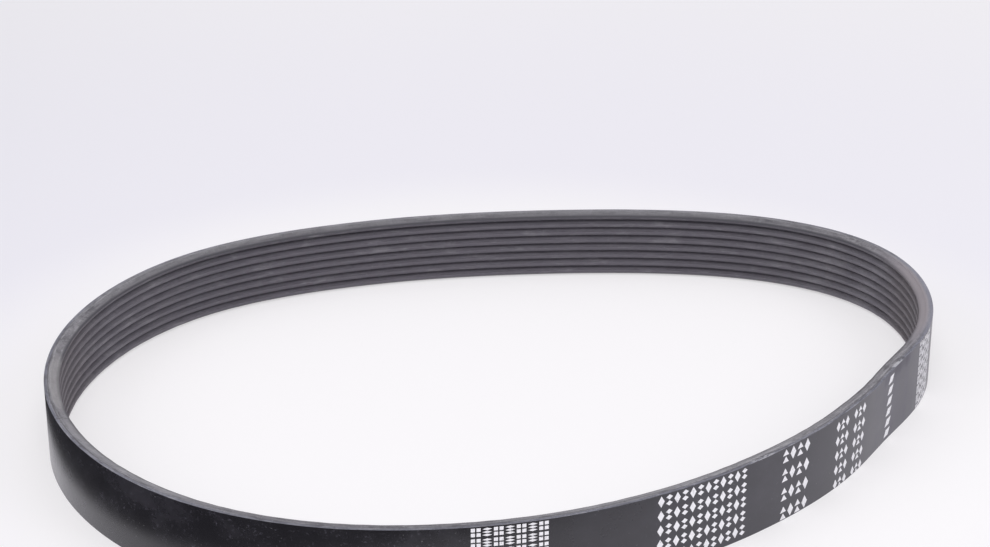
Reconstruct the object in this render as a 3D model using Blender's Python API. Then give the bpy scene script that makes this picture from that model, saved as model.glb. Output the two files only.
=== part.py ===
"""Endless ribbed drive belt, standing on its cut edge as a relaxed, slightly uneven loop.

Units are metres and +Z is up. The belt is one vulcanised body: a flat back, a cord layer,
and eight V ribs moulded round its inside. The origin is under the middle of the loop.
"""

import math

import bmesh
import bpy
import numpy as np

# Section of the belt
RIB_COUNT = 8
RIB_PITCH = 0.00356
RIB_ANGLE = math.radians(40.0)
RIB_DEPTH = 0.0026
RIB_TIP_RADIUS = 0.0005
GROOVE_RADIUS = 0.0003
BACKING_THICKNESS = 0.0028

# Length round the loop, measured along the bottoms of the grooves
EFFECTIVE_LENGTH = 0.950

# Control points of the relaxed loop, seen from above and counter-clockwise.
# They lie closer together at the tight right end, where the belt turns back on itself.
LOOP_POINTS = [
    (0.1735, -0.0185),
    (0.1715, 0.0550),
    (0.1130, 0.0980),
    (0.0095, 0.0970),
    (-0.0620, 0.0840),
    (-0.1315, 0.0530),
    (-0.1685, -0.0145),
    (-0.1650, -0.0895),
    (-0.1230, -0.1515),
    (-0.0610, -0.1810),
    (0.0140, -0.1760),
    (0.0765, -0.1450),
    (0.1265, -0.0960),
    (0.1440, -0.0595),
]

# Fineness of the mesh: stations from one control point to the next, the widest turn from
# point to point on a rounded edge, and the turn above which an edge is shaded as a crease
STEPS_PER_LOOP_POINT = 7
ARC_STEP_ANGLE = math.radians(75.0)
CREASE_ANGLE = math.radians(38.0)

# The largest fillet on a rib's tip, as a share of the one that would use up the whole flat
FILLET_SHARE = 0.9

# Rubber
RUBBER_COLOUR = (0.030, 0.029, 0.032, 1.0)
RUBBER_ROUGHNESS = 0.5

# Sizes that follow from the ones above
THICKNESS = BACKING_THICKNESS + RIB_DEPTH
FLANK_ANGLE = RIB_ANGLE / 2
OUTER_LENGTH = EFFECTIVE_LENGTH + 2 * math.pi * BACKING_THICKNESS


def arc(centre, radius, start, end):
    """Points of an arc in the section, from one angle to another, both ends included."""
    spans = math.ceil(abs(end - start) / ARC_STEP_ANGLE)
    points = []
    for angle in np.linspace(start, end, spans + 1):
        depth = centre[0] + radius * math.cos(angle)
        height = centre[1] + radius * math.sin(angle)
        points.append((depth, height))
    return points


def rib_tip(middle):
    """The flat tip of the rib at this height, with both of its corners rounded."""
    groove_width = 2 * GROOVE_RADIUS * (1 - math.sin(FLANK_ANGLE)) / math.cos(FLANK_ANGLE)
    tip_width = RIB_PITCH - groove_width - 2 * RIB_DEPTH * math.tan(FLANK_ANGLE)
    corner_turn = math.pi / 2 - FLANK_ANGLE
    full_radius = tip_width / (2 * math.tan(corner_turn / 2))
    radius = min(RIB_TIP_RADIUS, FILLET_SHARE * full_radius)
    reach = tip_width / 2 - radius * math.tan(corner_turn / 2)
    lower = (THICKNESS - radius, middle - reach)
    upper = (THICKNESS - radius, middle + reach)
    return arc(lower, radius, -corner_turn, 0.0) + arc(upper, radius, 0.0, corner_turn)


def groove_half(middle, rising):
    """One half of a groove's round bottom: up out of the bottom, or down into it."""
    centre = (BACKING_THICKNESS + GROOVE_RADIUS, middle)
    if rising:
        return arc(centre, GROOVE_RADIUS, math.pi, math.pi / 2 + FLANK_ANGLE)
    return arc(centre, GROOVE_RADIUS, 3 * math.pi / 2 - FLANK_ANGLE, math.pi)


def belt_section():
    """Closed outline of the belt as (depth from the back, height above the lower edge).

    The belt is cut from a wide sleeve along the bottoms of two grooves, so each side is a
    flat cut face through the backing and then the flank of the outermost rib.
    """
    outline = [(0.0, 0.0)]
    for rib in range(RIB_COUNT):
        outline += groove_half(rib * RIB_PITCH, rising=True)
        outline += rib_tip((rib + 0.5) * RIB_PITCH)
        falling = groove_half((rib + 1) * RIB_PITCH, rising=False)
        is_last = rib == RIB_COUNT - 1
        outline += falling if is_last else falling[:-1]
    outline.append((0.0, RIB_COUNT * RIB_PITCH))
    return outline


def loop_stations():
    """Points along the belt's back and the inward direction at each, centred on the loop's box.

    The loop is a closed cubic B-spline through its control points, sized so that the back
    has its own length round the loop.
    """
    control = np.array(LOOP_POINTS)
    step = np.arange(len(control) * STEPS_PER_LOOP_POINT) / STEPS_PER_LOOP_POINT
    first = np.floor(step).astype(int)
    t = (step - first)[:, None]
    p0, p1, p2, p3 = [control[(first + shift) % len(control)] for shift in (-1, 0, 1, 2)]

    along = (1 - t) ** 3 * p0 + (3 * t**3 - 6 * t**2 + 4) * p1
    along = (along + (-3 * t**3 + 3 * t**2 + 3 * t + 1) * p2 + t**3 * p3) / 6
    tangent = -((1 - t) ** 2) * p0 + (3 * t**2 - 4 * t) * p1
    tangent = tangent + (-3 * t**2 + 2 * t + 1) * p2 + t**2 * p3
    tangent = tangent / np.linalg.norm(tangent, axis=1)[:, None]
    inward = np.column_stack([-tangent[:, 1], tangent[:, 0]])

    length = np.linalg.norm(np.roll(along, -1, axis=0) - along, axis=1).sum()
    along = along * OUTER_LENGTH / length
    middle = (along.min(axis=0) + along.max(axis=0)) / 2
    return along - middle, inward


def rubber():
    """Black, slightly satin rubber."""
    material = bpy.data.materials.new("belt_rubber")
    material.use_nodes = True
    shader = material.node_tree.nodes["Principled BSDF"]
    shader.inputs["Base Color"].default_value = RUBBER_COLOUR
    shader.inputs["Roughness"].default_value = RUBBER_ROUGHNESS
    shader.inputs["Metallic"].default_value = 0.0
    material.diffuse_color = RUBBER_COLOUR
    return material


def make_belt():
    """Carries the section round the loop, one ring of vertices at each station."""
    section = belt_section()
    mesh = bmesh.new()
    rings = []
    for point, inward in zip(*loop_stations()):
        ring = []
        for depth, height in section:
            x, y = point + inward * depth
            ring.append(mesh.verts.new((x, y, height)))
        rings.append(ring)

    for here, following in zip(rings, rings[1:] + rings[:1]):
        for corner in range(len(section)):
            beside = (corner + 1) % len(section)
            mesh.faces.new((here[corner], following[corner], following[beside], here[beside]))
    bmesh.ops.recalc_face_normals(mesh, faces=mesh.faces)

    data = bpy.data.meshes.new("belt")
    mesh.to_mesh(data)
    mesh.free()
    data.shade_smooth()
    data.set_sharp_from_angle(angle=CREASE_ANGLE)
    data.materials.append(rubber())
    belt = bpy.data.objects.new("belt", data)
    bpy.context.scene.collection.objects.link(belt)
    return belt


def main():
    for existing in list(bpy.data.objects):
        bpy.data.objects.remove(existing)
    make_belt()


main()
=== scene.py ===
# %% [markdown]
# # A ribbed drive belt standing in a relaxed loop
# The object is one moulded piece of rubber: a flat back, a layer of cords, and eight V ribs
# round the inside. The frame gives its real size and place. This file gives it the looks: a
# finer surface of the same form, three rubber finishes, and the printed marks on the back.
# The frame comes first, because everything else is placed by it.

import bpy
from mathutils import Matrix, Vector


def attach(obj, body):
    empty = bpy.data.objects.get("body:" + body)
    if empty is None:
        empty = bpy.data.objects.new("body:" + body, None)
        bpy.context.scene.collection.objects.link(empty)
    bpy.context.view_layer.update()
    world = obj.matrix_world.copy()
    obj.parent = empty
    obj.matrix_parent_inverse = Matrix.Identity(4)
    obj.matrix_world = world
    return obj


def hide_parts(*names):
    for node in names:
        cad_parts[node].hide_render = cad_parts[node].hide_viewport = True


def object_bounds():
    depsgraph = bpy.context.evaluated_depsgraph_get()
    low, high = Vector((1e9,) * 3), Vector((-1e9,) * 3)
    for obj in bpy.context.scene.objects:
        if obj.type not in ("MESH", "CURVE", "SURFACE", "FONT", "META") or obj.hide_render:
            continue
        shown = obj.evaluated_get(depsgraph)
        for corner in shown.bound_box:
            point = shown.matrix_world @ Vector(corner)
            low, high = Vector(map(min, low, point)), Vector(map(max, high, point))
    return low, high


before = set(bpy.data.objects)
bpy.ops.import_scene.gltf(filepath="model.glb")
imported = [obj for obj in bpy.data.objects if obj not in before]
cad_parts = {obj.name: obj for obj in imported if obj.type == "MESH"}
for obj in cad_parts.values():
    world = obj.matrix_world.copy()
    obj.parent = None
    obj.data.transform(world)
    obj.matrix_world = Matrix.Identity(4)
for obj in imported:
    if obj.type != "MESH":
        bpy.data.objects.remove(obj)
cad_low, cad_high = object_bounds()
print("CAD box in mm:", [round(1000 * side, 1) for side in cad_high - cad_low])

# %% Blender's modules and a unit
import math
import random

import bpy
import numpy as np
from mathutils import Vector

MM = 0.001

# %% [markdown]
# ## The section
# The section is what a maker of such belts draws first. It is the standard one with ribs
# 3.56 mm apart, flanks at 40 degrees to each other, and rounded tips and groove bottoms. The
# belt is cut from a wide sleeve along the bottoms of two grooves. It could be drawn as a
# curve and swept by a curve object, but plain points let us say which finish each strip gets.
# The pitch comes from the frame: the belt's width divided by its ribs.

# %% Sizes of the section
RIB_COUNT = 8
WIDTH = cad_high.z - cad_low.z
RIB_PITCH = WIDTH / RIB_COUNT
FLANK_ANGLE = math.radians(20)
RIB_DEPTH = 2.6 * MM
BACKING_THICKNESS = 2.8 * MM
THICKNESS = BACKING_THICKNESS + RIB_DEPTH
RIB_TIP_RADIUS = 0.5 * MM
RIB_TIP_TURN = math.pi / 2 - FLANK_ANGLE
GROOVE_RADIUS = 0.3 * MM
BACK_EDGE_RADIUS = 0.12 * MM
print("rib pitch in mm:", round(RIB_PITCH / MM, 3), "thickness in mm:", THICKNESS / MM)

# %% [markdown]
# Each point of the section is a depth, measured from the back, and a height above the floor.
# Arcs are written by one helper, so that a corner is as fine as its number of steps says.
# The knife leaves a shallow line where it went through the cords, and the section has it too:
# how far in the line goes, and at which depth from the back, both in millimetres.

# %% Draw the section
CORNER_STEPS = 3
GROOVE_STEPS = 4
CORD_LINE = [(0.0, 2.1), (0.03, 1.6), (0.05, 1.45), (0.05, 1.25), (0.0, 1.1), (0.0, 0.6)]


def arc(centre, radius, start, end, steps):
    """Points of an arc, both ends included."""
    angles = np.linspace(start, end, steps + 1)
    return [(centre[0] + radius * math.cos(a), centre[1] + radius * math.sin(a)) for a in angles]


def tip_reach():
    """Half the width of the flat on a rib's tip."""
    groove_width = 2 * GROOVE_RADIUS * (1 - math.sin(FLANK_ANGLE)) / math.cos(FLANK_ANGLE)
    tip_width = RIB_PITCH - groove_width - 2 * RIB_DEPTH * math.tan(FLANK_ANGLE)
    return tip_width / 2 - RIB_TIP_RADIUS * math.tan(RIB_TIP_TURN / 2)


def rib_tip(middle):
    """The tip of a rib: two rounded corners with a flat between them."""
    depth = THICKNESS - RIB_TIP_RADIUS
    lower_centre = (depth, middle - tip_reach())
    upper_centre = (depth, middle + tip_reach())
    lower = arc(lower_centre, RIB_TIP_RADIUS, -RIB_TIP_TURN, 0, CORNER_STEPS)
    upper = arc(upper_centre, RIB_TIP_RADIUS, 0, RIB_TIP_TURN, CORNER_STEPS)
    return lower + upper


def groove(middle, start, end, steps):
    """The round bottom of a groove, or one half of it at the belt's cut sides."""
    return arc((BACKING_THICKNESS + GROOVE_RADIUS, middle), GROOVE_RADIUS, start, end, steps)


def draw_section():
    """The closed outline: along the lower side, up the ribs, and back along the upper side."""
    into = math.pi * 1.5 - FLANK_ANGLE
    out_of = math.pi * 0.5 + FLANK_ANGLE
    edge = BACK_EDGE_RADIUS
    outline = arc((edge, edge), edge, math.pi, math.pi * 1.5, CORNER_STEPS)
    outline += [(depth * MM, step * MM) for step, depth in reversed(CORD_LINE)]
    outline += groove(0.0, math.pi, out_of, GROOVE_STEPS // 2)
    for rib in range(RIB_COUNT):
        outline += rib_tip((rib + 0.5) * RIB_PITCH)
        if rib < RIB_COUNT - 1:
            outline += groove((rib + 1) * RIB_PITCH, into, out_of, GROOVE_STEPS)
    outline += groove(WIDTH, into, math.pi, GROOVE_STEPS // 2)
    outline += [(depth * MM, WIDTH - step * MM) for step, depth in CORD_LINE]
    outline += arc((edge, WIDTH - edge), edge, math.pi * 0.5, math.pi, CORNER_STEPS)
    return outline


section = draw_section()
print("section points:", len(section))

# %% [markdown]
# Three finishes share the section. The back is moulded, the two sides are cut, and the ribs are
# ground. The side of each outermost rib was cut as well, up to the flat of its tip.

# %% Which strip gets which finish
BACK, CUT, RIBS = 0, 1, 2
NO_DEPTH = 0.01 * MM


def strip_finish(corner):
    """The finish of the strip from this point of the section to the next one."""
    depth_here, height_here = section[corner]
    depth_next, height_next = section[(corner + 1) % len(section)]
    height = (height_here + height_next) / 2
    side = min(height, WIDTH - height)
    if depth_here < NO_DEPTH and depth_next < NO_DEPTH:
        return BACK
    if side < RIB_PITCH / 2 - tip_reach():
        return CUT
    return RIBS


strip_finishes = [strip_finish(corner) for corner in range(len(section))]
strip_counts = [strip_finishes.count(kind) for kind in (BACK, CUT, RIBS)]
print("strips of back, cut side and ribs:", strip_counts)

# %% [markdown]
# ## The loop
# A free belt never stands as a circle. This one has a blunt left end, a tight right end, and
# a stretch near the right front that bends slightly inward. Its outline on the floor is a
# smooth closed curve, held by a few control points that repeat those of the CAD model. A
# B-spline was chosen because it bends as evenly as rubber does. The curve is then measured,
# so that lengths along the belt are real millimetres.

# %% Walk round the loop
LOOP_POINTS = [
    (173.5, -18.5), (171.5, 55.0), (113.0, 98.0), (9.5, 97.0), (-62.0, 84.0),
    (-131.5, 53.0), (-168.5, -14.5), (-165.0, -89.5), (-123.0, -151.5), (-61.0, -181.0),
    (14.0, -176.0), (76.5, -145.0), (126.5, -96.0), (144.0, -59.5),
]
SPLINE_STEPS = 200


def spline(control, steps):
    """Closed cubic B-spline: its points, and its unit directions."""
    step = np.arange(len(control) * steps) / steps
    first = np.floor(step).astype(int)
    t = (step - first)[:, None]
    p0, p1, p2, p3 = [control[(first + shift) % len(control)] for shift in (-1, 0, 1, 2)]
    point = (1 - t) ** 3 * p0 + (3 * t**3 - 6 * t**2 + 4) * p1
    point = (point + (-3 * t**3 + 3 * t**2 + 3 * t + 1) * p2 + t**3 * p3) / 6
    way = -((1 - t) ** 2) * p0 + (3 * t**2 - 4 * t) * p1
    way = way + (-3 * t**2 + 2 * t + 1) * p2 + t**2 * p3
    return point, way / np.linalg.norm(way, axis=1)[:, None]


loop_points, loop_ways = spline(np.array(LOOP_POINTS) * MM, SPLINE_STEPS)
loop_points *= (cad_high.x - cad_low.x) / np.ptp(loop_points[:, 0])
loop_points -= (loop_points.min(axis=0) + loop_points.max(axis=0)) / 2
steps_along = np.linalg.norm(np.roll(loop_points, -1, axis=0) - loop_points, axis=1)
loop_lengths = np.concatenate([[0], np.cumsum(steps_along)])
BELT_LENGTH = loop_lengths[-1]
print("length round the back in mm:", round(BELT_LENGTH / MM, 1))

# %% [markdown]
# Two questions are asked of the loop again and again. The first is where a length along the
# belt is, and which way is inward there. The second is where that length would be if the belt
# stood as a perfect ring. Noise that is read on that ring follows the belt round its bends
# and closes on itself, so the finishes use it in place of a flat unwrapping.

# %% Places on the loop and on the ring
RING_RADIUS = BELT_LENGTH / math.tau


def on_loop(length):
    """Points on the back's outline, and inward directions, at these lengths round the loop."""
    length = np.asarray(length) % BELT_LENGTH
    closed_points = np.vstack([loop_points, loop_points[:1]])
    closed_ways = np.vstack([loop_ways, loop_ways[:1]])
    x, y = [np.interp(length, loop_lengths, closed_points[:, axis]) for axis in (0, 1)]
    along_x, along_y = [np.interp(length, loop_lengths, closed_ways[:, axis]) for axis in (0, 1)]
    return np.column_stack([x, y]), np.column_stack([-along_y, along_x])


def on_ring(length, height):
    """The same place on a belt that stands as a perfect ring."""
    angle = np.asarray(length) / RING_RADIUS
    flat = [RING_RADIUS * np.cos(angle), RING_RADIUS * np.sin(angle)]
    return np.stack([*flat, np.broadcast_to(height, angle.shape)], axis=-1)


# %% [markdown]
# Where the belt goes over from one bend to the other it is twisted a little, and its upper edge
# leans out by less than a millimetre. A cosine that fades to nothing at both ends of the
# stretch is enough for that. The belt and its print share it, so that they stay together.

# %% The lean
LEAN_LENGTH = 903 * MM
LEAN_REACH = 28 * MM
LEAN_MOST = 0.8 * MM


def lean(length, height):
    """How far the belt leans out at these lengths and at this height above the floor."""
    apart = np.minimum(np.abs(np.asarray(length) - LEAN_LENGTH) / LEAN_REACH, 1.0)
    return LEAN_MOST * (1 + np.cos(math.pi * apart)) / 2 * height / WIDTH


print("lean of the upper edge in mm:", round(float(lean(LEAN_LENGTH, WIDTH)) / MM, 2))

# %% [markdown]
# ## The belt's surface
# The section is carried round the loop, one ring of points at each step. The two cut sides
# were made by a knife on a turning sleeve, so their surface wanders by a few hundredths of a
# millimetre, and the long edges catch the light unevenly. The wander is a sum of waves that
# fit the loop a whole number of times, so no step shows where they meet. It goes inward only,
# so the belt gets no wider than it is. The grinding wheel leaves each rib a little uneven too,
# which breaks up the long straight lines of the grooves.

# %% Wander of the tools
CUT_WANDER = 0.06 * MM
CUT_WANDER_TURNS = (3, 7, 12, 19, 31, 52, 83)
LOWER_SIDE_SEED = 4
UPPER_SIDE_SEED = 9
RIB_WANDER = 0.11 * MM
RIB_WANDER_TURNS = (5, 17, 41, 73, 97, 118, 139)
FIRST_RIB_SEED = 20
WEAKEST_WAVE = 0.3


def wander(angle, all_turns, seed):
    """How far a tool wandered at these angles round the sleeve, from 0 to 1."""
    rng = random.Random(seed)
    wave = np.zeros_like(angle)
    for turns in all_turns:
        wave += rng.uniform(WEAKEST_WAVE, 1.0) * np.sin(turns * angle + rng.uniform(0, math.tau))
    return np.clip(0.5 + wave / len(all_turns), 0, 1)


# %% Carry the section round the loop
STATIONS = 640


def carry_section():
    """The section's points at every station: their places on the belt, and on the ring."""
    length = np.arange(STATIONS) * BELT_LENGTH / STATIONS
    point, inward = on_loop(length)
    angle = length / RING_RADIUS
    lower = CUT_WANDER * wander(angle, CUT_WANDER_TURNS, LOWER_SIDE_SEED)
    upper = CUT_WANDER * wander(angle, CUT_WANDER_TURNS, UPPER_SIDE_SEED)
    rib_seeds = range(FIRST_RIB_SEED, FIRST_RIB_SEED + RIB_COUNT)
    ribs = [RIB_WANDER * wander(angle, RIB_WANDER_TURNS, seed) for seed in rib_seeds]
    places = np.zeros((STATIONS, len(section), 3))
    rings = np.zeros((STATIONS, len(section), 3))
    for corner, (depth, height) in enumerate(section):
        cut_share = 1 - min(depth / BACKING_THICKNESS, 1.0)
        shift = lower * cut_share if height < WIDTH / 2 else -upper * cut_share
        rib_share = max(depth - BACKING_THICKNESS - GROOVE_RADIUS, 0.0) / RIB_DEPTH
        rib = ribs[min(int(height / RIB_PITCH), RIB_COUNT - 1)] * rib_share
        towards_middle = 1 if height < WIDTH / 2 else -1
        inset = depth - rib - lean(length, height)
        places[:, corner, :2] = point + inward * inset[:, None]
        places[:, corner, 2] = height + shift + rib * towards_middle
        rings[:, corner] = on_ring(length, height)
    return places, rings


def join_stations():
    """Faces with four corners, from each station to the next and from the last to the first."""
    count = len(section)
    here = np.arange(STATIONS)[:, None] * count
    following = np.roll(here, -1, axis=0)
    corner = np.arange(count)[None, :]
    beside = (corner + 1) % count
    faces = np.stack([here + corner, here + beside, following + beside, following + corner], -1)
    return faces.reshape(-1, 4).tolist()


# %% [markdown]
# The mesh keeps two values for each point: its place on the ring, and its depth under the back.
# The finishes read both. Normals are weighted by the size of the faces, so that the narrow
# rounded edges don't bend the shine of the wide flat strips beside them.

# %% Build the belt
FLAT_STRIP_WEIGHT = 100


def add_mesh(name, places, faces, rings):
    """A mesh object that keeps, for each point, its place on the ring."""
    mesh = bpy.data.meshes.new(name)
    mesh.from_pydata(np.asarray(places).tolist(), [], faces)
    ring_layer = mesh.attributes.new("ring", "FLOAT_VECTOR", "POINT")
    ring_layer.data.foreach_set("vector", np.asarray(rings, dtype=float).ravel())
    piece = bpy.data.objects.new(name, mesh)
    bpy.context.scene.collection.objects.link(piece)
    return piece


def build_belt():
    """One closed surface, with a finish for each strip of the section."""
    places, rings = carry_section()
    belt = add_mesh("ribbed_belt", places.reshape(-1, 3), join_stations(), rings)
    mesh = belt.data
    mesh.polygons.foreach_set("material_index", np.tile(strip_finishes, STATIONS))
    depth_layer = mesh.attributes.new("depth", "FLOAT", "POINT")
    depth_layer.data.foreach_set("value", np.tile([depth for depth, height in section], STATIONS))
    mesh.shade_smooth()
    weighted = belt.modifiers.new("flat strips stay flat", "WEIGHTED_NORMAL")
    weighted.weight = FLAT_STRIP_WEIGHT
    return belt


belt = build_belt()
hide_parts("belt")
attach(belt, "root")
print("belt triangles:", 2 * len(belt.data.polygons))

# %% [markdown]
# ## Writing finishes
# A finish is a small graph of nodes. To read it like a formula, one class wraps a socket, and
# adding or multiplying two of them adds the Math node. Everything else comes from one method
# that takes a node's type, its settings, and what goes into its sockets. The Mix node has
# sockets of the same name for each kind of value, so its colour sockets go by their numbers.

# %% A class for sockets
class Signal:
    """A value on its way through a graph of nodes."""

    def __init__(self, graph, socket):
        self.graph = graph
        self.socket = socket

    def maths(self, operation, *values):
        return self.graph.node("ShaderNodeMath", {"operation": operation}, dict(enumerate(values)))

    def __add__(self, other):
        return self.maths("ADD", self, other)

    def __radd__(self, other):
        return self.maths("ADD", other, self)

    def __sub__(self, other):
        return self.maths("SUBTRACT", self, other)

    def __rsub__(self, other):
        return self.maths("SUBTRACT", other, self)

    def __mul__(self, other):
        return self.maths("MULTIPLY", self, other)

    def __rmul__(self, other):
        return self.maths("MULTIPLY", other, self)

    def ramp(self, low, high):
        """Rises smoothly from 0 at low to 1 at high, or falls if low is above high."""
        if low > high:
            return 1 - self.ramp(high, low)
        settings = {"interpolation_type": "SMOOTHSTEP"}
        inputs = {"Value": self, "From Min": low, "From Max": high}
        return self.graph.node("ShaderNodeMapRange", settings, inputs)

    def band(self, middle, half_width, soft):
        """1 within half_width of middle, and 0 further out, with a soft edge."""
        return self.maths("ABSOLUTE", self - middle).ramp(half_width + soft, half_width)


# %% A class for graphs of nodes
MIX_FACTOR, MIX_FIRST, MIX_SECOND, MIX_RESULT = 0, 6, 7, 2


class Graph:
    """The nodes of a material or of the world."""

    def __init__(self, owner):
        owner.use_nodes = True
        self.tree = owner.node_tree

    def plug(self, socket, value):
        """Links a signal to a socket, or writes a plain value on it."""
        if isinstance(value, Signal):
            self.tree.links.new(value.socket, socket)
        elif hasattr(value, "__len__") and len(socket.default_value) > len(value):
            socket.default_value = (*value, 1.0)
        else:
            socket.default_value = value

    def node(self, kind, settings=None, inputs=None, output=0):
        """Adds a node: first its settings, then what goes into its sockets."""
        node = self.tree.nodes.new(kind)
        for name, value in (settings or {}).items():
            setattr(node, name, value)
        for name, value in (inputs or {}).items():
            self.plug(node.inputs[name], value)
        return Signal(self, node.outputs[output])

    def vector(self, operation, first, second=(0, 0, 0), output="Vector"):
        inputs = {0: first, 1: second}
        return self.node("ShaderNodeVectorMath", {"operation": operation}, inputs, output)

    def mix(self, factor, first, second):
        """From the first colour to the second."""
        inputs = {MIX_FACTOR: factor, MIX_FIRST: first, MIX_SECOND: second}
        return self.node("ShaderNodeMix", {"data_type": "RGBA"}, inputs, MIX_RESULT)


# %% [markdown]
# The finishes of the belt share a few words: where a point is on the ring, how deep it lies
# under the back, noise that is stretched along or across the belt, and a stretch of the belt
# round a given length.

# %% A class for the belt's finishes
class Finish(Graph):
    """A material of the belt in the making."""

    def __init__(self, name):
        self.material = bpy.data.materials.new(name)
        super().__init__(self.material)
        self.shader = self.tree.nodes["Principled BSDF"]
        self.ring = self.node("ShaderNodeAttribute", {"attribute_name": "ring"}, output="Vector")
        self.depth = self.node("ShaderNodeAttribute", {"attribute_name": "depth"}, output="Fac")
        self.height = self.node("ShaderNodeSeparateXYZ", {}, {"Vector": self.ring}, output="Z")

    def set(self, **values):
        """Feeds the shader: base_color=..., roughness=..., and so on."""
        for name, value in values.items():
            self.plug(self.shader.inputs[name.replace("_", " ").title()], value)

    def noise(self, along, up, detail=2.0, roughness=0.5, place=None):
        """Noise from 0 to 1, with so many waves in a metre along the belt and up its width."""
        scaled = self.vector("MULTIPLY", place or self.ring, (along, along, up))
        inputs = {"Vector": scaled, "Scale": 1.0, "Detail": detail, "Roughness": roughness}
        return self.node("ShaderNodeTexNoise", {"normalize": True}, inputs)

    def stretch(self, length, half_width, soft):
        """1 on the stretch of the belt round this length, in millimetres, and 0 elsewhere."""
        flat_ring = self.vector("MULTIPLY", self.ring, (1, 1, 0))
        middle = tuple(on_ring(length * MM, 0.0))
        apart = self.vector("DISTANCE", flat_ring, middle, output="Value")
        return apart.ramp((half_width + soft) * MM, half_width * MM)

    def bump(self, height, distance):
        """Small relief, with the distance in metres that a height of 1 stands for."""
        self.set(normal=self.node("ShaderNodeBump", {}, {"Distance": distance, "Height": height}))


# %% [markdown]
# ## The back
# The back is pressed smooth in the mould: near-black rubber with a satin shine. Its light
# comes almost wholly from what it reflects, so the colour is very dark and the roughness does
# the work. Handling leaves an uneven film of dust, thicker towards the tight end and dotted
# near the blunt one, smears across the belt near the right front, and two pale places at the
# upper edge. There are a few pale specks, short scratches across the belt and scuffs along it.
# Stretches of the belt are named by their length round the back from the right end of the
# loop, in millimetres, and heights are measured from the floor.

# %% Finish of the back
BACK_BLACK = (0.0120, 0.0112, 0.0145)
DUST_FILM = (0.080, 0.076, 0.096)
PALE_SPECK = (0.22, 0.22, 0.22)
RUBBER_IOR = 1.6
HANDLED_LENGTH = 880
SMEARED_LENGTH = 905
RUBBED_LENGTH = 921
SMUDGED_LENGTH = 602
DUSTY_LENGTH = 930
DOTTED_LENGTH = 620
RUBBED_HEIGHTS = (22.5 * MM, 26.5 * MM)
SMUDGED_HEIGHTS = (18 * MM, 25 * MM)
BACK_RELIEF = 0.006 * MM


def back_finish():
    finish = Finish("satin_back")
    clouds = finish.noise(55, 80, detail=4, roughness=0.62)
    patches = finish.noise(28, 60, detail=3).ramp(0.50, 0.64)
    handled = finish.stretch(HANDLED_LENGTH, 60, 110)
    smears = finish.noise(260, 14, detail=3).ramp(0.48, 0.66)
    smears = smears * finish.stretch(SMEARED_LENGTH, 25, 15)
    rubbed = finish.stretch(RUBBED_LENGTH, 8, 9) * finish.height.ramp(*RUBBED_HEIGHTS)
    smudged = finish.stretch(SMUDGED_LENGTH, 8, 16) * finish.height.ramp(*SMUDGED_HEIGHTS)
    film = clouds.ramp(0.42, 0.80) * 0.17 + handled * (0.20 + clouds * 0.2)
    film = film + smears * 0.35 + rubbed * 0.9 + smudged * clouds * 0.3
    film = film + finish.stretch(DUSTY_LENGTH, 18, 22) * 0.35
    scratches = finish.noise(900, 240, detail=2).ramp(0.65, 0.73) * patches
    scuffs = finish.noise(120, 1300, detail=2).ramp(0.67, 0.75) * patches
    specks = finish.noise(1300, 1300, detail=1).ramp(0.745, 0.80)
    dotted = finish.noise(900, 900, detail=3, roughness=0.7).ramp(0.57, 0.72)
    dotted = dotted * finish.stretch(DOTTED_LENGTH, 70, 60) * clouds.ramp(0.42, 0.56)
    colour = finish.mix(film, BACK_BLACK, DUST_FILM)
    colour = finish.mix(dotted * 0.85, colour, DUST_FILM)
    colour = finish.mix(scratches * 0.6 + scuffs * 0.5, colour, DUST_FILM)
    colour = finish.mix(specks * 0.55, colour, PALE_SPECK)
    grain = finish.noise(2200, 2200)
    finish.set(base_color=colour, roughness=0.20 + clouds * 0.10 + film * 0.2)
    finish.shader.inputs["IOR"].default_value = RUBBER_IOR
    finish.bump(grain * 0.5 + clouds * 2, BACK_RELIEF)
    return finish.material


# %% [markdown]
# ## The cut sides
# The knife opens the belt's layers to view, so the colour depends on the depth from the back. A
# band for each layer alone would look painted on. Noises that change with the depth as well as
# along the belt break the bands up, as the knife does.

# %% Noises of the cut sides
def add_cut_noises(finish):
    """The noises that the steps of this finish share."""
    across = finish.node("ShaderNodeCombineXYZ", {}, {"Z": finish.depth})
    place = finish.vector("ADD", finish.ring, across)
    finish.streaks = finish.noise(110, 1000, detail=4, roughness=0.66, place=place)
    finish.broad = finish.noise(38, 420, detail=4, roughness=0.6, place=place)
    finish.blots = finish.noise(190, 420, detail=4, roughness=0.65, place=place)
    finish.grit = finish.noise(1150, 1150, detail=3, roughness=0.7, place=place)
    finish.layers = finish.noise(15, 1350, detail=3, roughness=0.6, place=place)


# %% [markdown]
# From the back inward there are a bluish cover, a dark line where the cords are, a neutral
# grey, and the flank of the outermost rib. The layers also show as long fine lines, most
# clearly on the right of the near stretch.

# %% The layers
COVER_BLUE = (0.172, 0.174, 0.212)
BACKING_GREY = (0.212, 0.206, 0.223)
FLANK_GREY = (0.202, 0.194, 0.210)
STREAK_AND_SHADE_DARK = (0.055, 0.052, 0.062)
STREAK_PALE = (0.42, 0.41, 0.43)
COVER_TO_BACKING = (0.8 * MM, 1.3 * MM)
BACKING_TO_FLANK = (2.2 * MM, 3.4 * MM)
CORD_DEPTH = 1.35 * MM
CORD_HALF_WIDTH = 0.14 * MM
CORD_SOFT_EDGE = 0.15 * MM
LAYERED_LENGTH = 788


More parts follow.
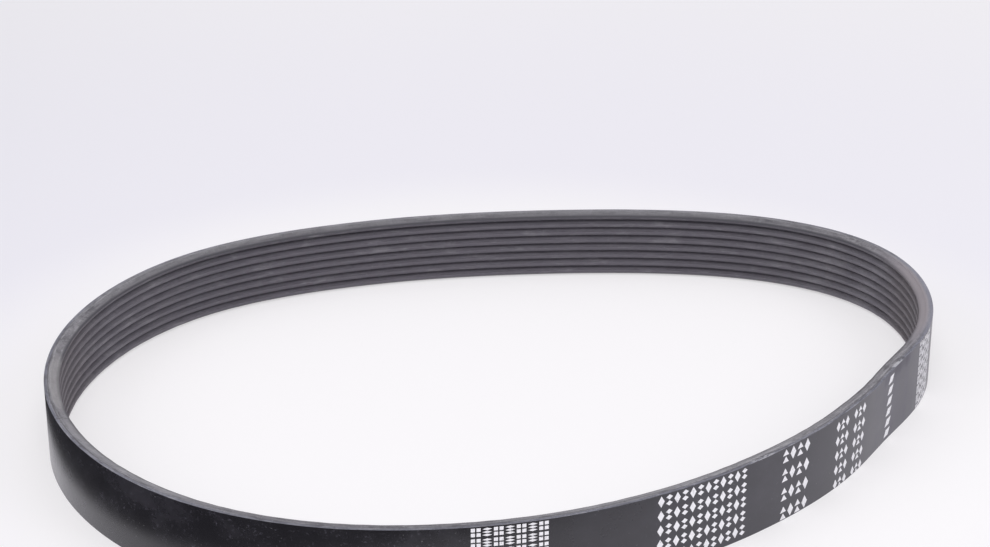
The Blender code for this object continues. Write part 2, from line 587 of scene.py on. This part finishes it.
def show_layers(finish):
    """The colours of the layers."""
    depth = finish.depth
    colour = finish.mix(depth.ramp(*COVER_TO_BACKING), COVER_BLUE, BACKING_GREY)
    colour = finish.mix(depth.ramp(*BACKING_TO_FLANK), colour, FLANK_GREY)
    cord = depth.band(CORD_DEPTH, CORD_HALF_WIDTH, CORD_SOFT_EDGE)
    cord = cord * finish.broad.ramp(0.38, 0.60)
    colour = finish.mix(cord * 0.6, colour, STREAK_AND_SHADE_DARK)
    layered = finish.stretch(LAYERED_LENGTH, 32, 45) * 0.45 + 0.12
    colour = finish.mix(finish.layers.ramp(0.48, 0.36) * layered, colour, STREAK_AND_SHADE_DARK)
    return finish.mix(finish.layers.ramp(0.50, 0.62) * layered, colour, STREAK_PALE)


# %% [markdown]
# Streaks run the way the knife did, between dark blots and a fine grit of rubber dust. A hair
# line crosses the side where the ends of a layer meet.

# %% What the knife left
LAYER_JOINT_LENGTH = 539


def mark_by_knife(finish, colour):
    """The same colour with the knife's marks on it."""
    colour = finish.mix(finish.blots.ramp(0.50, 0.30) * 0.6, colour, STREAK_AND_SHADE_DARK)
    colour = finish.mix(finish.streaks.ramp(0.50, 0.32) * 0.75, colour, STREAK_AND_SHADE_DARK)
    colour = finish.mix(finish.streaks.ramp(0.52, 0.70) * 0.6, colour, STREAK_PALE)
    colour = finish.mix(finish.grit.ramp(0.46, 0.32) * 0.5, colour, STREAK_AND_SHADE_DARK)
    colour = finish.mix(finish.grit.ramp(0.57, 0.72) * 0.5, colour, STREAK_PALE)
    joint = finish.stretch(LAYER_JOINT_LENGTH, 0.15, 0.25)
    return finish.mix(joint * 0.8, colour, STREAK_AND_SHADE_DARK)


# %% [markdown]
# Some stretches differ from the rest. The far one is painted paler, a painted sheen where its cut
# side catches the light, and darker towards the ribs, a painted shade. The near one is pale along
# its inner rim to the left and right, dull between, and has two small pale scuffs on the right.

# %% Painted sheen and shade, rims and scuffs
SHEEN_AND_POWDER_PALE = (0.350, 0.345, 0.360)
SCUFF_PALE = (0.50, 0.50, 0.53)
FAR_LENGTH = 265
PALE_RIMS = ((583, 22), (805, 45))
DULL_LENGTH = 684
SCUFF_LENGTHS = (828, 922)
BACK_TO_TIP = (0.0, 5.0 * MM)
RIM_DEPTHS = (1.4 * MM, 2.6 * MM)
SCUFF_DEPTHS = (1.9 * MM, 0.8 * MM)


def far_sheen_shade_and_scuffs(finish, colour):
    """The same colour with a painted sheen and shade on the far stretch, and rims and scuffs on
    the near one.
    """
    far = finish.stretch(FAR_LENGTH, 110, 90)
    # Painted sheen: the far stretch is paler where its cut side catches the light.
    colour = finish.mix(far * finish.broad.ramp(0.25, 0.55) * 0.40, colour, SHEEN_AND_POWDER_PALE)
    # Painted shade: the far stretch darkens towards the ribs.
    colour = finish.mix(far * finish.depth.ramp(*BACK_TO_TIP) * 0.60, colour, STREAK_AND_SHADE_DARK)
    for length, half_width in PALE_RIMS:
        rim = finish.stretch(length, half_width, 35) * finish.depth.ramp(*RIM_DEPTHS)
        colour = finish.mix(rim * 0.4, colour, SHEEN_AND_POWDER_PALE)
    colour = finish.mix(finish.stretch(DULL_LENGTH, 30, 45) * 0.26, colour, STREAK_AND_SHADE_DARK)
    for length in SCUFF_LENGTHS:
        scuff = finish.stretch(length, 2.5, 5.0) * finish.depth.ramp(*SCUFF_DEPTHS)
        colour = finish.mix(scuff * finish.blots.ramp(0.40, 0.52) * 0.85, colour, SCUFF_PALE)
    return colour


# %% [markdown]
# The blunt end is painted pale on the flank, a painted highlight where it faces the light, and
# the tight end is painted paler and cooler, a painted highlight, with a warm bloom further in.
# Everywhere else the upper side darkens towards the tip of its rib, a painted shade.

# %% Finish of the cut sides
LIT_FLANK_PALE = (0.330, 0.318, 0.322)
COOL_HIGHLIGHT = (0.245, 0.242, 0.288)
WARM_BLOOM = (0.308, 0.270, 0.278)
PAINTED_TIP_SHADE = (0.050, 0.047, 0.057)
BLUNT_END_LENGTH = 508
TIGHT_END_LENGTH = 20
LIT_FLANK_DEPTHS = (1.7 * MM, 2.4 * MM)
WARM_DEPTHS = (1.0 * MM, 2.6 * MM)
TIP_DEPTHS = (4.1 * MM, 5.2 * MM)
UPPER_SIDE = (WIDTH * 0.4, WIDTH * 0.6)
CUT_RELIEF = 0.05 * MM


def end_light_bloom_and_tip_shade(finish, colour):
    """The same colour with painted highlights and a bloom at the ends, and painted shade towards
    the tip between them.
    """
    # Painted highlight on the blunt end's flank, where it faces the light.
    lit_flank = finish.stretch(BLUNT_END_LENGTH, 16, 12) * finish.depth.ramp(*LIT_FLANK_DEPTHS)
    colour = finish.mix(lit_flank * 0.65, colour, LIT_FLANK_PALE)
    tight_end = finish.stretch(TIGHT_END_LENGTH, 20, 38)
    # Painted highlight: the tight end is paler and cooler all across its cut side.
    colour = finish.mix(tight_end * 0.7, colour, COOL_HIGHLIGHT)
    colour = finish.mix(tight_end * finish.depth.ramp(*WARM_DEPTHS) * 0.7, colour, WARM_BLOOM)
    # Painted shade on the upper side, darkening towards the tip of the outermost rib.
    shaded_tip = finish.depth.ramp(*TIP_DEPTHS) * finish.height.ramp(*UPPER_SIDE)
    return finish.mix(shaded_tip * (0.95 - lit_flank * 0.5 - tight_end * 0.7), colour, PAINTED_TIP_SHADE)


def cut_finish():
    finish = Finish("knife_cut_side")
    add_cut_noises(finish)
    colour = mark_by_knife(finish, show_layers(finish))
    colour = end_light_bloom_and_tip_shade(finish, far_sheen_shade_and_scuffs(finish, colour))
    finish.set(base_color=colour, roughness=0.50 + finish.broad * 0.25)
    finish.bump(finish.streaks + finish.grit * 0.5 + finish.blots, CUT_RELIEF)
    return finish.material


# %% [markdown]
# ## The ribs
# The ribs are ground to shape, which leaves a dull, slightly violet grey with short fibres in
# it. The grinding wheel marks them in fine lines along the belt, and nicks the flanks here and
# there. The depth steers the colour: the flanks are painted paler, a painted highlight, and the
# tips and the bottoms of the grooves darker, a painted shade. The top rib is darker than the
# rest. Both ends of the loop are painted paler, a painted highlight, and have a light bloom that
# fills the grooves more than it covers the tips, partly a painted light over the grooves' shade.

# %% Finish of the ribs
GROOVE_SHADE_AND_PIT_DARK = (0.118, 0.110, 0.128)
TOP_RIB_DARK = (0.080, 0.075, 0.090)
RIB_FLANK_HIGHLIGHT = (0.150, 0.139, 0.163)
RIB_TIP = (0.104, 0.096, 0.115)
FIBRE_AND_HIGHLIGHT_PALE = (0.27, 0.26, 0.28)
TIP_BLOOM = (0.150, 0.134, 0.143)
GROOVE_BLOOM_AND_FILL_LIGHT = (0.250, 0.225, 0.236)
BLUNT_RIBS_LENGTH = 470
TIGHT_RIBS_LENGTH = 50
NICK_DEPTH = 2.2 * MM
FLANK_TO_TIP = (4.4 * MM, 5.2 * MM)
FLANK_TO_GROOVE = (3.5 * MM, 2.8 * MM)
GROOVE_TO_TIP = (3.0 * MM, 4.8 * MM)
TOP_RIB = (WIDTH - 1.5 * RIB_PITCH, WIDTH - 0.8 * RIB_PITCH)
RIB_RELIEF = 0.05 * MM


def rib_finish():
    finish = Finish("ground_ribs")
    patches = finish.noise(70, 330, detail=4, roughness=0.66)
    nicks = finish.noise(150, 420, detail=3, roughness=0.6)
    lines = finish.noise(90, 2600, detail=3, roughness=0.6)
    fibres = finish.noise(1300, 1700, detail=2, roughness=0.6)
    pits = finish.noise(520, 900, detail=3, roughness=0.6)
    depth = finish.depth + (nicks - 0.5) * NICK_DEPTH
    # Painted highlight on the flanks, painted shade on the tips and in the grooves.
    colour = finish.mix(depth.ramp(*FLANK_TO_TIP), RIB_FLANK_HIGHLIGHT, RIB_TIP)
    colour = finish.mix(depth.ramp(*FLANK_TO_GROOVE), colour, GROOVE_SHADE_AND_PIT_DARK)
    colour = finish.mix(finish.height.ramp(*TOP_RIB) * 0.9, colour, TOP_RIB_DARK)
    colour = finish.mix(patches.ramp(0.50, 0.32) * 0.7, colour, GROOVE_SHADE_AND_PIT_DARK)
    colour = finish.mix(patches.ramp(0.54, 0.72) * 0.38, colour, FIBRE_AND_HIGHLIGHT_PALE)
    # Painted highlight: the ribs at both ends of the loop are paler.
    lit_ends = finish.stretch(BLUNT_RIBS_LENGTH, 45, 70) * 0.22
    lit_ends = lit_ends + finish.stretch(TIGHT_RIBS_LENGTH, 25, 70) * 0.30
    colour = finish.mix(lit_ends * (patches.ramp(0.36, 0.64) + 0.4), colour, FIBRE_AND_HIGHLIGHT_PALE)
    # A bloom at both ends, paler in the grooves than on the tips, partly a painted light over the
    # grooves' shade.
    bloomed_and_lit_ends = finish.stretch(TIGHT_END_LENGTH, 20, 30) * 0.85
    bloomed_and_lit_ends = bloomed_and_lit_ends + finish.stretch(BLUNT_END_LENGTH, 30, 50) * (patches * 0.6 + 0.3)
    bloom_and_fill_light_colour = finish.mix(depth.ramp(*GROOVE_TO_TIP), GROOVE_BLOOM_AND_FILL_LIGHT, TIP_BLOOM)
    colour = finish.mix(bloomed_and_lit_ends, colour, bloom_and_fill_light_colour)
    colour = finish.mix(pits.ramp(0.44, 0.30) * 0.6, colour, GROOVE_SHADE_AND_PIT_DARK)
    colour = finish.mix(lines.ramp(0.58, 0.78) * 0.3, colour, FIBRE_AND_HIGHLIGHT_PALE)
    colour = finish.mix(fibres.ramp(0.64, 0.76) * 0.4, colour, FIBRE_AND_HIGHLIGHT_PALE)
    finish.set(base_color=colour, roughness=0.62 + patches * 0.2)
    finish.bump(lines * 0.5 + fibres + pits + nicks * 1.5, RIB_RELIEF)
    return finish.material


for finished in (back_finish(), cut_finish(), rib_finish()):
    belt.data.materials.append(finished)
print("finishes:", [slot.name for slot in belt.material_slots])

# %% [markdown]
# ## The printed marks
# White ink is rolled on the sleeve in rows before it is cut, so the last row of a block can
# run off the edge. Here it prints plain patterns of lozenges, peaks, slabs and tiles. They
# could be painted by the shader, but a thin plate on the back keeps a crisp edge at any
# distance. Each shape is drawn once in a cell that is one unit wide and one unit high.

# %% Shapes of the marks
TILE_SIDE = 0.42
SLAB_SLANT = 0.28
STACK_GAP = 0.15
LOZENGE = [(0.5, 0.0), (1.0, 0.5), (0.5, 1.0), (0.0, 0.5)]
PEAK = [(0.0, 0.0), (1.0, 0.0), (0.5, 1.0)]
TILE = [(0.0, 0.0), (TILE_SIDE, 0.0), (TILE_SIDE, TILE_SIDE), (0.0, TILE_SIDE)]
SLAB = [(0.0, 0.0), (1 - SLAB_SLANT, 0.0), (1.0, 1.0), (SLAB_SLANT, 1.0)]


def stacked(corners, count):
    """The same outline so many times above each other, with gaps between."""
    step = 1 / (count - STACK_GAP)
    drawn = 1 - STACK_GAP
    return [[(x, (row + drawn * y) * step) for x, y in corners] for row in range(count)]


def four_tiles():
    """A tile in each corner of the cell."""
    starts = (0.0, 1 - TILE_SIDE)
    places = [(right, up) for right in starts for up in starts]
    return [[(x + right, y + up) for x, y in TILE] for right, up in places]


MARK_SHAPES = {
    "lozenge": [LOZENGE],
    "twins": stacked(LOZENGE, 2),
    "trio": stacked(LOZENGE, 3),
    "peaks": stacked(PEAK, 2),
    "tiles": four_tiles(),
    "slab": [SLAB],
    "gap": [],
}
print("shapes:", ", ".join(MARK_SHAPES))

# %% [markdown]
# A block of print is the marks of one row, a number of rows, a place along the belt, the height
# of its top, a cell, and the size of a mark in it. Lengths are millimetres round the back from
# the right end of the loop. From left to right there are a dense block, one with long rows of
# small marks, one with tall marks, one with a gap down its middle, a column of slabs, and a
# dense block round the tight end.

# %% Blocks of print
DENSE_ROW = "tiles trio tiles trio tiles trio tiles".split()
LONG_ROW = ["lozenge", "twins"] * 6
TALL_ROW = ["peaks", "lozenge"] * 2
GAP_ROW = "lozenge peaks lozenge gap lozenge peaks lozenge".split()
END_ROW = "tiles lozenge tiles lozenge tiles".split()
PRINT_BLOCKS = [
    {"row": DENSE_ROW, "rows": 7, "start": 716.8, "top": 27.8,
     "cell": (3.76, 3.90), "mark": (3.2, 3.1)},
    {"row": LONG_ROW, "rows": 5, "start": 782.0, "top": 27.8,
     "cell": (3.22, 5.45), "mark": (2.6, 4.2)},
    {"row": TALL_ROW, "rows": 4, "start": 837.7, "top": 27.8,
     "cell": (3.90, 7.45), "mark": (3.1, 5.0)},
    {"row": GAP_ROW, "rows": 5, "start": 869.0, "top": 26.6,
     "cell": (3.18, 5.75), "mark": (2.7, 4.0)},
    {"row": ["slab"], "rows": 6, "start": 912.2, "top": 26.5,
     "cell": (5.60, 4.40), "mark": (5.4, 2.8)},
    {"row": END_ROW, "rows": 7, "start": 944.0, "top": 27.8,
     "cell": (3.10, 4.00), "mark": (3.0, 3.8)},
]
EDGE_MARGIN = 0.3


def trim(corners, low, high):
    """Cuts a shape off at two heights, as the knife cuts the print."""
    for limit, side in ((low, 1), (high, -1)):
        kept = []
        for (x0, y0), (x1, y1) in zip(corners, corners[1:] + corners[:1]):
            inside0 = side * (y0 - limit) >= 0
            inside1 = side * (y1 - limit) >= 0
            if inside0:
                kept.append((x0, y0))
            if inside0 != inside1:
                kept.append((x0 + (limit - y0) / (y1 - y0) * (x1 - x0), limit))
        corners = kept
    return corners


def block_outlines(block):
    """The outlines of one block of print in millimetres, row by row from the top."""
    wide, high = block["mark"]
    outlines = []
    for row in range(block["rows"]):
        base = block["top"] - high - row * block["cell"][1]
        for column, name in enumerate(block["row"]):
            left = block["start"] + column * block["cell"][0]
            for corners in MARK_SHAPES[name]:
                outline = [(left + wide * x, base + high * y) for x, y in corners]
                outlines.append(trim(outline, EDGE_MARGIN, WIDTH / MM - EDGE_MARGIN))
    return [outline for outline in outlines if len(outline) > 2]


print_outlines = sum([block_outlines(block) for block in PRINT_BLOCKS], [])
print("plates of ink:", len(print_outlines))

# %% [markdown]
# A plate is a closed body: a front that stands a little proud of the back, a rear that is sunk
# in the rubber, and walls between. All plates share one mesh.

# %% Lay the plates on the back
INK_PROUD = 0.03 * MM
INK_SUNK = 0.05 * MM


def lay_plates(outlines):
    """Turns outlines on the unrolled back into plates on the belt."""
    places, rings, faces = [], [], []
    for outline in outlines:
        length, height = (np.array(outline) * MM).T
        point, inward = on_loop(length)
        front = range(len(places), len(places) + len(outline))
        rear = range(front.stop, front.stop + len(outline))
        for lift in (INK_PROUD, -INK_SUNK):
            outward = lean(length, height) + lift
            places.extend(np.column_stack([point - inward * outward[:, None], height]))
            rings.extend(on_ring(length, height))
        faces.append(list(front))
        faces.append(list(reversed(rear)))
        for here in range(len(outline)):
            beside = (here + 1) % len(outline)
            faces.append([front[here], rear[here], rear[beside], front[beside]])
    return add_mesh("printed_marks", places, faces, rings)


marks = lay_plates(print_outlines)
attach(marks, "root")
print("faces of the printed marks:", len(marks.data.polygons))

# %% [markdown]
# The ink is a soft white that has worn a little: pinholes and thin places let the rubber
# through, and round the tight end it has gone grey.

# %% Finish of the ink
INK_WHITE = (0.86, 0.85, 0.88)
INK_THIN = (0.33, 0.32, 0.34)
WORN_LENGTH = 952
INK_RELIEF = 0.01 * MM


def ink_finish():
    finish = Finish("white_ink")
    wear = finish.noise(1300, 1300, detail=3, roughness=0.7)
    worn_end = finish.stretch(WORN_LENGTH, 14, 8)
    colour = finish.mix(wear.ramp(0.56, 0.72) * 0.8, INK_WHITE, INK_THIN)
    colour = finish.mix(worn_end * 0.3, colour, INK_THIN)
    finish.set(base_color=colour, roughness=0.45 + wear * 0.1)
    finish.bump(wear, INK_RELIEF)
    return finish.material


marks.data.materials.append(ink_finish())
print("finish of the marks:", marks.material_slots[0].name)

# %% [markdown]
# ## Floor
# The floor is plain and pale. Part of its light is its own when the camera looks at it, so the
# shadows on it stay soft, and it lights nothing else. It is whitest near the belt and far away,
# and a little greyer on the left. A satin black surface shows whatever lies in front of it, so
# for reflections the floor is pale only near the belt and dark further out. That gives the back
# its pale lower band and leaves it black above. All lengths here are metres.

# %% Colours of the floor
FLOOR_NEAR = (1.0, 0.985, 1.0)
FLOOR_PLAIN = (0.91, 0.895, 0.955)
FLOOR_FAR = (1.0, 0.985, 1.0)
FLOOR_SHADE = (0.66, 0.66, 0.73)
REFLECTED_PALE = (0.96, 0.94, 1.0)
REFLECTED_DARK = (0.05, 0.05, 0.055)
PALE_CENTRE = (0.0046, 0.0063, 0.0)
PALE_RADIUS = 0.183
PALE_EDGE = 0.004
PALE_SIDEWAYS = (0.16, 0.11)
NEAR_REACH = (0.26, 0.175)
PLAIN_TO_FAR = (0.25, 0.80)
SHADE_SIDEWAYS = (-0.05, -0.55)
SHADE_REACH = (1.20, 0.30)
SHADE_STRENGTH = 0.45


def floor_colours(graph):
    """What the camera sees of the floor, and what the belt's shine shows of it."""
    place = graph.node("ShaderNodeTexCoord", output="Object")
    distance = graph.vector("DISTANCE", place, PALE_CENTRE, output="Value")
    sideways = graph.node("ShaderNodeSeparateXYZ", {}, {"Vector": place}, output="X")
    colour = graph.mix(distance.ramp(*PLAIN_TO_FAR), FLOOR_PLAIN, FLOOR_FAR)
    shade = sideways.ramp(*SHADE_SIDEWAYS) * distance.ramp(*SHADE_REACH)
    colour = graph.mix(shade * SHADE_STRENGTH, colour, FLOOR_SHADE)
    colour = graph.mix(distance.ramp(*NEAR_REACH), colour, FLOOR_NEAR)
    outside = distance.ramp(PALE_RADIUS - PALE_EDGE, PALE_RADIUS + PALE_EDGE)
    outside = outside * sideways.ramp(*PALE_SIDEWAYS)
    return colour, graph.mix(outside, REFLECTED_PALE, REFLECTED_DARK)


# %% Floor
FLOOR_SIZE = 6.0
FLOOR_ROUGHNESS = 0.9
OWN_LIGHT = 0.5


def floor_material():
    material = bpy.data.materials.new("pale_floor")
    graph = Graph(material)
    shader = graph.tree.nodes["Principled BSDF"]
    colour, reflected = floor_colours(graph)
    to_camera = graph.node("ShaderNodeLightPath", output="Is Camera Ray")
    glossy = graph.node("ShaderNodeLightPath", output="Is Glossy Ray")
    glow_inputs = {"Base Color": (0, 0, 0), "Specular IOR Level": 0.0, "Emission Strength": 1.0}
    glow_inputs["Emission Color"] = graph.mix(glossy, colour, reflected)
    glow = graph.node("ShaderNodeBsdfPrincipled", {}, glow_inputs)
    graph.plug(shader.inputs["Base Color"], colour)
    shader.inputs["Roughness"].default_value = FLOOR_ROUGHNESS
    shader.inputs["Specular IOR Level"].default_value = 0.0
    lit = Signal(graph, shader.outputs["BSDF"])
    own_share = to_camera * OWN_LIGHT + glossy
    seen = graph.node("ShaderNodeMixShader", {}, {0: own_share, 1: lit, 2: glow})
    graph.plug(graph.tree.nodes["Material Output"].inputs["Surface"], seen)
    return material


bpy.ops.mesh.primitive_plane_add(size=FLOOR_SIZE, location=(0, 0, 0))
floor = bpy.context.object
floor.name = "floor"
floor.data.materials.append(floor_material())
print("floor laid, its pale reflection reaches mm:", PALE_RADIUS / MM)

# %% [markdown]
# ## Light
# A pale world lights everything softly. It looks brighter than that to the camera and in
# reflections, as white walls do, and this brings no more light on the belt. Four soft boxes
# add a little direction: one overhead, one high in front, and one at each side.

# %% World and soft boxes
WORLD_COLOUR = (0.96, 0.95, 1.0)
WORLD_LEVEL = 0.50
WORLD_SEEN_MORE = 0.42

world = bpy.data.worlds.new("soft_room")
bpy.context.scene.world = world
room = Graph(world)
backdrop = room.tree.nodes["Background"]
to_eye = room.node("ShaderNodeLightPath", output="Is Camera Ray")
mirrored = room.node("ShaderNodeLightPath", output="Is Glossy Ray")
room.plug(backdrop.inputs["Color"], WORLD_COLOUR)
room.plug(backdrop.inputs["Strength"], (to_eye + mirrored) * WORLD_SEEN_MORE + WORLD_LEVEL)


def soft_box(name, place, size, power):
    """A square soft box that faces the belt."""
    lamp = bpy.data.lights.new(name, "AREA")
    lamp.size = size
    lamp.energy = power
    holder = bpy.data.objects.new(name, lamp)
    holder.location = place
    holder.rotation_euler = Vector(place).to_track_quat("Z", "Y").to_euler()
    bpy.context.scene.collection.objects.link(holder)


soft_box("overhead_box", place=(0.0, 0.2, 1.6), size=1.0, power=3.0)
soft_box("front_box", place=(0.0, -1.3, 1.2), size=0.9, power=8.0)
soft_box("left_box", place=(-1.1, -0.6, 0.9), size=0.8, power=3.5)
soft_box("right_box", place=(1.1, -0.6, 0.9), size=0.8, power=4.5)

# %% [markdown]
# ## Camera
# The camera looks down on the belt from the front, from a little under 90 cm away, through a
# slightly long lens. Its place was worked out from the belt's own outline in the picture.

# %% Camera
CAMERA_PLACE = (0.00072, -0.78924, 0.40282)
CAMERA_TILT = math.radians(66.415)
CAMERA_TURN = math.radians(0.239)
CAMERA_LENS = 84.98
SENSOR_WIDTH = 36.0

camera_data = bpy.data.cameras.new("camera")
camera_data.lens = CAMERA_LENS
camera_data.sensor_width = SENSOR_WIDTH
camera = bpy.data.objects.new("camera", camera_data)
camera.location = CAMERA_PLACE
camera.rotation_euler = (CAMERA_TILT, 0.0, CAMERA_TURN)
bpy.context.scene.collection.objects.link(camera)
bpy.context.scene.camera = camera
bpy.context.scene.view_settings.view_transform = "Standard"
print("camera's distance from the belt's middle in cm:", round(100 * camera.location.length))
